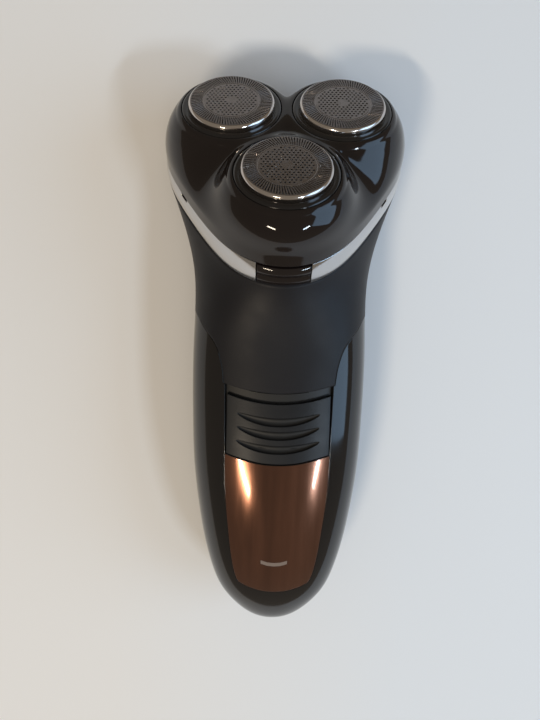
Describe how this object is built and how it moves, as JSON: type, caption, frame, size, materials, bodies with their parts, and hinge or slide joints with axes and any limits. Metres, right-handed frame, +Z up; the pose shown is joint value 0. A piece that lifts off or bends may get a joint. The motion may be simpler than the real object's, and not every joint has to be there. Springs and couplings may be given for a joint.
{
  "type": "rotary shaver",
  "caption": "Cordless rotary electric shaver: lobed head with floating slotted caps, flip-open hair chamber, geared cutter drive, slide switch and recessed charging inlet.",
  "frame": {"origin": "centre of the footprint on the surface the shaver lies on, back down", "axes": "+Z up out of the front face of the handle, +Y along the handle from the charging inlet to the shaving head, +X across"},
  "size_m": [0.0686, 0.1693, 0.0569],
  "materials": {
    "gloss_black": "polished",
    "soft_grey": "soft touch",
    "bronze_mirror": "tinted mirror",
    "bright_trim": "polished",
    "lens_clear": "clear",
    "led_red": "moulded",
    "foil_steel": "satin",
    "blade_steel": "ground",
    "hub_grey": "moulded",
    "gear_white": "moulded",
    "spindle_ivory": "moulded",
    "inner_black": "moulded",
    "knob_grey": "moulded",
    "pin_steel": "ground",
    "screw_steel": "plated",
    "can_steel": "drawn",
    "endcap_white": "moulded",
    "brass_contact": "plated",
    "cell_green": "shrink sleeve",
    "board_green": "solder mask",
    "component_black": "moulded",
    "component_blue": "sleeve",
    "wire_red": "insulation",
    "wire_black": "insulation"
  },
  "bodies": {
    "body": {"back_shell": "gloss_black", "battery_cell": "cell_green", "battery_tabs": "brass_contact", "case_screws": "screw_steel", "chassis": "inner_black", "circuit_board": "board_green", "deck_screws": "screw_steel", "front_panel": "bronze_mirror", "front_shell": "gloss_black", "gear_carrier": "inner_black", "gear_pins": "pin_steel", "head_deck": "inner_black", "head_hinge_pin": "pin_steel", "indicator_led": "led_red", "indicator_lens": "lens_clear", "inlet_pins": "brass_contact", "inlet_socket": "inner_black", "motor_can": "can_steel", "motor_endcap": "endcap_white", "motor_lead_black": "wire_black", "motor_lead_red": "wire_red", "neck_cover": "soft_grey", "pcb_capacitor": "component_blue", "pcb_transformer": "component_black", "release_spring": "pin_steel", "switch_body": "component_black", "trim_band": "bright_trim"},
    "head": {"head_cover": "gloss_black", "retaining_plate": "inner_black"},
    "retainer_knob": {"retainer_knob": "knob_grey"},
    "cap_front": {"shaving_cap_front": "foil_steel", "guard_ring_front": "gloss_black"},
    "cutter_front": {"cutter_blades_front": "blade_steel", "cutter_hub_front": "hub_grey"},
    "gear_front": {"drive_gear_front": "gear_white"},
    "spindle_front": {"drive_spindle_front": "spindle_ivory"},
    "cap_right": {"shaving_cap_right": "foil_steel", "guard_ring_right": "gloss_black"},
    "cutter_right": {"cutter_blades_right": "blade_steel", "cutter_hub_right": "hub_grey"},
    "gear_right": {"drive_gear_right": "gear_white"},
    "spindle_right": {"drive_spindle_right": "spindle_ivory"},
    "cap_left": {"shaving_cap_left": "foil_steel", "guard_ring_left": "gloss_black"},
    "cutter_left": {"cutter_blades_left": "blade_steel", "cutter_hub_left": "hub_grey"},
    "gear_left": {"drive_gear_left": "gear_white"},
    "spindle_left": {"drive_spindle_left": "spindle_ivory"},
    "motor_rotor": {"motor_shaft": "pin_steel", "motor_pinion": "gear_white"},
    "power_switch": {"power_switch": "soft_grey", "switch_slider": "knob_grey"},
    "release_button": {"release_button": "gloss_black"}
  },
  "joints": [
    {"name": "head_hinge", "type": "hinge", "parent": "body", "child": "head", "pos_m": [0, 0.0769, 0.0037], "axis": [-1, 0, 0], "range_deg": [0, 95]},
    {"name": "retainer_lock", "type": "hinge", "parent": "head", "child": "retainer_knob", "pos_m": [0, 0.06276, 0.02825], "axis": [0, 0.7314, 0.682], "range_deg": [0, 60]},
    {"name": "motor_spin", "type": "hinge", "parent": "body", "child": "motor_rotor", "pos_m": [0, 0.05757, 0.0234], "axis": [0, 0.7314, 0.682], "continuous": true},
    {"name": "cap_front_float", "type": "slide", "parent": "head", "child": "cap_front", "axis": [0, -0.7314, -0.682], "range_m": [0, 0.0015], "stiffness_N_per_m": 500, "springref_m": -0.0006},
    {"name": "cutter_front_spin", "type": "hinge", "parent": "cap_front", "child": "cutter_front", "pos_m": [0, 0.05614, 0.04546], "axis": [0, 0.7314, 0.682], "continuous": true},
    {"name": "gear_front_spin", "type": "hinge", "parent": "body", "child": "gear_front", "pos_m": [0, 0.04737, 0.03727], "axis": [0, 0.7314, 0.682], "continuous": true},
    {"name": "spindle_front_press", "type": "slide", "parent": "gear_front", "child": "spindle_front", "axis": [0, -0.7314, -0.682], "range_m": [0, 0.0015]},
    {"name": "cap_right_float", "type": "slide", "parent": "head", "child": "cap_right", "axis": [0, -0.7314, -0.682], "range_m": [0, 0.0015], "stiffness_N_per_m": 500, "springref_m": -0.0006},
    {"name": "cutter_right_spin", "type": "hinge", "parent": "cap_right", "child": "cutter_right", "pos_m": [0.01481, 0.07364, 0.0267], "axis": [0, 0.7314, 0.682], "continuous": true},
    {"name": "gear_right_spin", "type": "hinge", "parent": "body", "child": "gear_right", "pos_m": [0.01481, 0.06486, 0.01852], "axis": [0, 0.7314, 0.682], "continuous": true},
    {"name": "spindle_right_press", "type": "slide", "parent": "gear_right", "child": "spindle_right", "axis": [0, -0.7314, -0.682], "range_m": [0, 0.0015]},
    {"name": "cap_left_float", "type": "slide", "parent": "head", "child": "cap_left", "axis": [0, -0.7314, -0.682], "range_m": [0, 0.0015], "stiffness_N_per_m": 500, "springref_m": -0.0006},
    {"name": "cutter_left_spin", "type": "hinge", "parent": "cap_left", "child": "cutter_left", "pos_m": [-0.01481, 0.07364, 0.0267], "axis": [0, 0.7314, 0.682], "continuous": true},
    {"name": "gear_left_spin", "type": "hinge", "parent": "body", "child": "gear_left", "pos_m": [-0.01481, 0.06486, 0.01852], "axis": [0, 0.7314, 0.682], "continuous": true},
    {"name": "spindle_left_press", "type": "slide", "parent": "gear_left", "child": "spindle_left", "axis": [0, -0.7314, -0.682], "range_m": [0, 0.0015]},
    {"name": "power_switch_slide", "type": "slide", "parent": "body", "child": "power_switch", "axis": [0, 1, 0], "range_m": [0, 0.0025]},
    {"name": "release_button_press", "type": "slide", "parent": "body", "child": "release_button", "axis": [0, 0.682, -0.7314], "range_m": [0, 0.0011], "stiffness_N_per_m": 900, "springref_m": -0.0008, "deforming": ["release_spring"]}
  ],
  "couplings": [
    {"joint": "cutter_front_spin", "follows": "motor_spin", "ratio": -0.58333},
    {"joint": "gear_front_spin", "follows": "motor_spin", "ratio": -0.58333},
    {"joint": "spindle_front_press", "follows": "cap_front_float", "ratio": 1},
    {"joint": "cutter_right_spin", "follows": "motor_spin", "ratio": -0.58333},
    {"joint": "gear_right_spin", "follows": "motor_spin", "ratio": -0.58333},
    {"joint": "spindle_right_press", "follows": "cap_right_float", "ratio": 1},
    {"joint": "cutter_left_spin", "follows": "motor_spin", "ratio": -0.58333},
    {"joint": "gear_left_spin", "follows": "motor_spin", "ratio": -0.58333},
    {"joint": "spindle_left_press", "follows": "cap_left_float", "ratio": 1}
  ]
}
